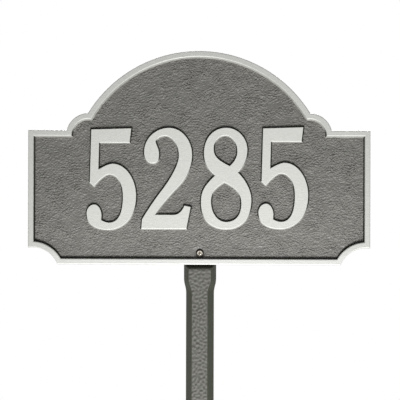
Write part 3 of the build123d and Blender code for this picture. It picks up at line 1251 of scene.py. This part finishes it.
@dataclass
class MachineScrew:
    """The screw: a domed head with a cross recess, and a threaded shank."""

    node: str = "screw"
    head_height: float = 3.0 * MM
    shank_radius: float = 2.1 * MM
    thread_pitch: float = 0.8 * MM
    thread_depth: float = 0.42 * MM
    end_chamfer: float = 0.6 * MM
    recess_span: float = 4.6 * MM
    recess_width: float = 1.1 * MM
    recess_depth: float = 2.0 * MM
    recess_taper: float = 0.45
    mouth_ahead: float = 0.5 * MM
    mouth_scale: float = 1.12
    # Depths below the dome over which painted shade darkens the recess.
    recess_shade_depths: tuple[float, float] = (0.05 * MM, 0.5 * MM)
    seat_margin: float = 0.5 * MM
    turns: int = 64
    dome_rings: int = 22
    pole_angle: float = 0.02
    rings_a_pitch: int = 10
    crease_angle: float = radians(35)

    def __post_init__(self) -> None:
        """Reads the screw's box from the frame."""
        self.low, self.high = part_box(self.node)
        self.axis = (self.low + self.high) / 2
        self.head_radius = (self.high.x - self.low.x) / 2
        self.seat = self.low.y + self.head_height
        self.sphere = (self.head_radius**2 + self.head_height**2) / (2 * self.head_height)

    def body(self) -> bpy.types.Object:
        """Closed skin of head and shank.

        The head is a cap of a sphere, whose radius is (r^2 + h^2) / 2h for a cap of radius r and
        height h. On the shank the radius falls from the crest by the thread's depth times a
        triangle wave of depth / pitch - turn, and both ends of the thread run out.

        Returns:
            The piece.
        """
        edge_angle = np.arcsin(self.head_radius / self.sphere)
        slope = np.linspace(self.pole_angle, edge_angle, self.dome_rings)
        dome_radius, dome_depth = self.sphere * np.sin(slope), self.sphere * (1 - np.cos(slope))
        length = self.high.y - self.seat
        rings = int(length / self.thread_pitch * self.rings_a_pitch)
        along = np.linspace(0, length, rings)
        turn = np.linspace(0, 1, self.turns, endpoint=False)
        phase = along[:, None] / self.thread_pitch - turn[None, :]
        groove = 1 - np.abs(2 * (phase % 1) - 1)
        ends = smooth_step(along, 0, self.thread_pitch)
        ends *= 1 - smooth_step(along, length - self.end_chamfer, length)
        shank = self.shank_radius - self.thread_depth * groove * ends[:, None]
        chamfer = np.clip(along - (length - self.end_chamfer), 0, None)
        shank -= chamfer[:, None]
        dome = np.repeat(dome_radius[:, None], self.turns, 1)
        radius = np.concatenate([dome, shank])
        dome_y = np.repeat(self.low.y + dome_depth[:, None], self.turns, 1)
        shank_y = np.repeat(self.seat + along[:, None], self.turns, 1)
        depth = np.concatenate([dome_y, shank_y])
        return mesh_piece("machine_screw", *turned_tube(radius, depth, self.axis))

    def recess(self) -> bpy.types.Object:
        """Closed cross-shaped cutter that narrows towards its tip.

        A cross with arms of half span s and half width w has twelve corners. It is carried from
        in front of the head to the bottom of the recess while s and w shrink, and ends in a
        small flat.

        Returns:
            The piece.
        """
        span, width = self.recess_span / 2, self.recess_width / 2
        arm = np.array([[span, -width], [span, width], [width, width]])
        quarter = np.arange(4) * np.pi / 2
        turns = np.array([[np.cos(quarter), -np.sin(quarter)], [np.sin(quarter), np.cos(quarter)]])
        cross = np.einsum("ijq,kj->qki", turns, arm).reshape(-1, 2)
        levels = ((-self.mouth_ahead, self.mouth_scale), (self.recess_depth, self.recess_taper))
        rows = []
        for depth, scale in levels:
            y = np.full(len(cross), self.low.y + depth)
            x, z = self.axis.x + cross[:, 0] * scale, self.axis.z + cross[:, 1] * scale
            rows.append(np.stack([x, y, z], -1))
        count = len(cross)
        ring = np.arange(count)
        after = np.roll(ring, -1)
        sides = np.stack([ring, after, after + count, ring + count], 1).tolist()
        faces = sides + [ring[::-1].tolist(), (ring + count).tolist()]
        cutter = mesh_piece("cross_recess", np.concatenate(rows), faces)
        form = bmesh.new()
        form.from_mesh(cutter.data)
        bmesh.ops.recalc_face_normals(form, faces=form.faces)
        form.to_mesh(cutter.data)
        form.free()
        return cutter

    def recessed(self, points: Array) -> Array:
        """How far points lie down the recess: a smooth rise of their depth below the dome.

        Args:
            points: Rows of x, y and z.

        Returns:
            The rise at each point, and 0 from the seat backwards.
        """
        x, y, z = points.T
        radius = np.hypot(x - self.axis.x, z - self.axis.z)
        dome = self.low.y + self.sphere - np.sqrt(self.sphere**2 - radius**2)
        rise = smooth_step(y - dome, *self.recess_shade_depths)
        return np.where(y < self.seat - self.seat_margin, rise, 0)

    def build(self, effects: SharedEffects) -> bpy.types.Object:
        """Makes the screw from shared node groups and its own sizes."""
        piece = self.body()
        combine(piece, self.recess(), SolidOperation.DIFFERENCE)
        store_values(piece.data, "recessed", self.recessed(vertex_points(piece.data)))
        shade(piece.data, self.crease_angle)
        material = ScrewPlating().material(effects, self.axis, self.head_radius)
        dress(piece, material, self.node)
        return piece


@dataclass(frozen=True)
class Lamp:
    """A soft rectangular lamp that cameras don't see."""

    name: str
    place: tuple[float, float, float]
    aim: tuple[float, float, float]
    size: tuple[float, float]
    power: float
    spread: float = radians(180)

    def build(self) -> None:
        """Adds the lamp, turned towards its aim."""
        light = bpy.data.lights.new(self.name, "AREA")
        light.shape = "RECTANGLE"
        light.size, light.size_y = self.size
        light.energy = self.power
        light.spread = self.spread
        lamp = bpy.data.objects.new(self.name, light)
        lamp.location = self.place
        direction = Vector(self.aim) - Vector(self.place)
        lamp.rotation_euler = direction.to_track_quat("-Z", "Y").to_euler()
        lamp.visible_camera = False
        bpy.context.scene.collection.objects.link(lamp)


@dataclass
class Studio:
    """Camera, lamps, white background and pale floor."""

    frame_pixels: int = 400
    metres_a_pixel: float = 1.0072 * MM
    camera_distance: float = 2.0
    camera_yaw: float = radians(1.7)
    camera_roll: float = radians(0.15)
    aim: tuple[float, float, float] = (0.20 * MM, -10 * MM, 268.6 * MM)
    sensor: float = 36.0
    fill: float = 0.07
    floor_below_tip: float = 3 * MM
    floor_radius: float = 0.9
    floor_sides: int = 96
    floor_roughness: float = 0.9
    floor_colour: Colour = (0.80, 0.80, 0.79)

    def camera(self) -> None:
        """Adds a long-lens camera whose frame has the photograph's scale at the plaque's front."""
        data = bpy.data.cameras.new("camera")
        data.sensor_width = self.sensor
        data.lens = self.sensor * self.camera_distance / (self.frame_pixels * self.metres_a_pixel)
        camera = bpy.data.objects.new("camera", data)
        away = Vector((sin(self.camera_yaw), -cos(self.camera_yaw), 0)) * self.camera_distance
        camera.location = Vector(self.aim) + away
        level = (-away).to_track_quat("-Z", "Y").to_matrix()
        roll = Matrix.Rotation(self.camera_roll, 3, "Z")
        camera.rotation_euler = (level @ roll).to_euler()
        bpy.context.scene.collection.objects.link(camera)
        bpy.context.scene.camera = camera

    def lamps(self) -> None:
        """Adds the key and a bounce from below the front, and a lamp for the back."""
        key = Lamp(
            name="key",
            place=(0.11, -1.24, -0.80),
            aim=(0.05, 0.0, 0.12),
            size=(0.45, 0.45),
            power=2.25,
            spread=radians(50),
        )
        bounce = Lamp(
            name="bounce",
            place=(0.0, -0.3, -0.75),
            aim=(0.0, 0.0, 0.3),
            size=(0.3, 0.3),
            power=0.3,
            spread=radians(60),
        )
        rear = Lamp(
            name="rear", place=(0.0, 1.3, 0.9), aim=(0.0, 0.0, 0.1), size=(0.6, 0.6), power=22.0
        )
        for lamp in (key, bounce, rear):
            lamp.build()

    def world(self) -> None:
        """Sets a weak even fill, with white for what the camera, gloss and glass see."""
        world = bpy.data.worlds.new("studio")
        world.use_nodes = True
        world.node_tree.nodes.clear()
        tree = Tree(world.node_tree)
        rays = tree.add("ShaderNodeLightPath").outputs
        seen = rays[RayKind.CAMERA.value]
        for kind in (RayKind.GLOSSY, RayKind.TRANSMISSION):
            seen = tree.math("MAXIMUM", seen, rays[kind.value])
        white = rgba((1, 1, 1))
        dim = tree.add("ShaderNodeBackground", {"Color": white, "Strength": self.fill})
        bright = tree.add("ShaderNodeBackground", {"Color": white, "Strength": 1.0})
        shaders = {0: seen, 1: dim.outputs[0], 2: bright.outputs[0]}
        mixed = tree.add("ShaderNodeMixShader", shaders)
        tree.add("ShaderNodeOutputWorld", {"Surface": mixed.outputs[0]})
        bpy.context.scene.world = world

    def floor(self) -> None:
        """Adds a pale disc just under the stake's tip."""
        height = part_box("stake")[0].z - self.floor_below_tip
        turn = np.linspace(0, 2 * np.pi, self.floor_sides, endpoint=False)
        rim = np.stack([np.cos(turn), np.sin(turn)], 1) * self.floor_radius
        points = np.column_stack([rim, np.full(len(turn), height)])
        floor = mesh_piece("floor", points, [list(range(len(turn)))])
        material, _, shader, _ = new_material("floor_paper")
        shader.inputs["Base Color"].default_value = rgba(self.floor_colour)
        shader.inputs["Roughness"].default_value = self.floor_roughness
        floor.data.materials.append(material)
        floor.visible_shadow = False

    def build(self) -> None:
        """Adds everything and sets the plain view transform."""
        bpy.context.scene.view_settings.view_transform = "Standard"
        self.camera()
        self.lamps()
        self.world()
        self.floor()


def main() -> None:
    """Loads the frame, builds each piece round it, and builds the studio."""
    logging.basicConfig(level=logging.INFO, format="%(name)s: %(message)s")
    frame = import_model()
    effects = SharedEffects()
    PlaqueCasting().build(frame, effects)
    GroundStake().build(frame, effects)
    MachineScrew().build(effects)
    Studio().build()


if __name__ == "__main__":
    main()
